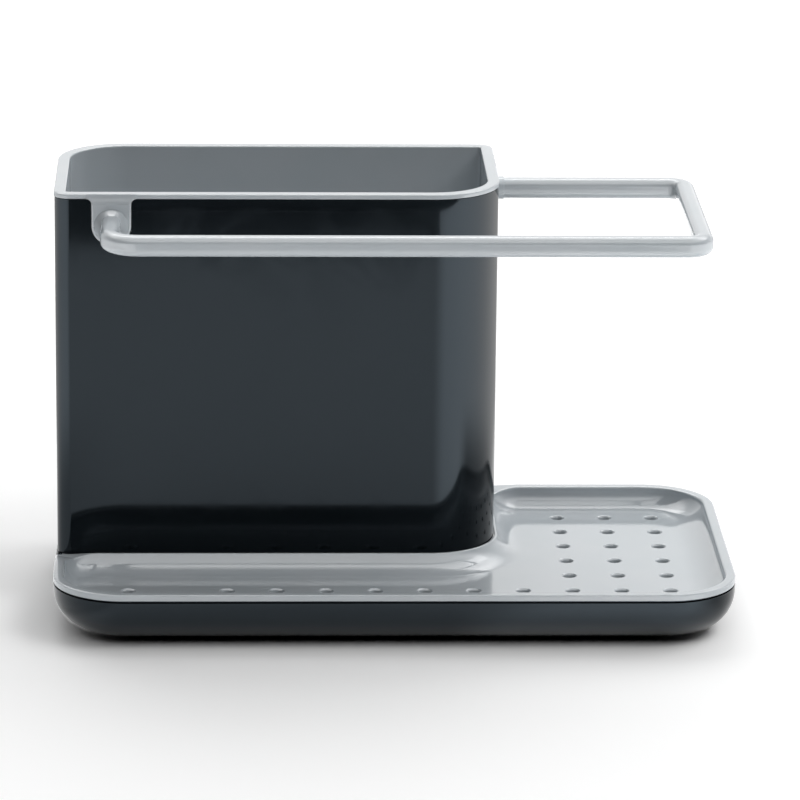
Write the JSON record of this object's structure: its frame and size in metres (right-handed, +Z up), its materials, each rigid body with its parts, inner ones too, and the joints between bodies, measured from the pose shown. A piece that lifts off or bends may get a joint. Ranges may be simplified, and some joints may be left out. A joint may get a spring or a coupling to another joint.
{
  "type": "kitchen sink caddy",
  "caption": "Kitchen sink caddy: a tall brush container with a lift-out liner and a towel rail stands on a dished drip tray over a base that catches the water.",
  "frame": {"origin": "centre of the footprint, on the surface that the feet stand on", "axes": "+X along the caddy's length, from the brush container at the left to the open end of the tray; +Y to the back; +Z up"},
  "size_m": [0.205, 0.114, 0.1283],
  "materials": {
    "dark_plastic": "gloss, moulded",
    "light_plastic": "gloss, moulded",
    "rubber": "matt"
  },
  "bodies": {
    "base": {"base_reservoir": "dark_plastic", "foot_front_left": "rubber", "foot_front_right": "rubber", "foot_rear_left": "rubber", "foot_rear_right": "rubber"},
    "tray": {"drip_tray": "light_plastic"},
    "container": {"brush_container": "dark_plastic"},
    "liner": {"container_liner": "light_plastic", "towel_rail": "light_plastic"}
  },
  "joints": [
    {"name": "tray_lift", "type": "slide", "parent": "base", "child": "tray", "axis": [0, 0, 1], "range_m": [0, 0.03]},
    {"name": "container_lift", "type": "slide", "parent": "tray", "child": "container", "axis": [0, 0, 1], "range_m": [0, 0.04]},
    {"name": "liner_lift", "type": "slide", "parent": "container", "child": "liner", "axis": [0, 0, 1], "range_m": [0, 0.13]}
  ]
}
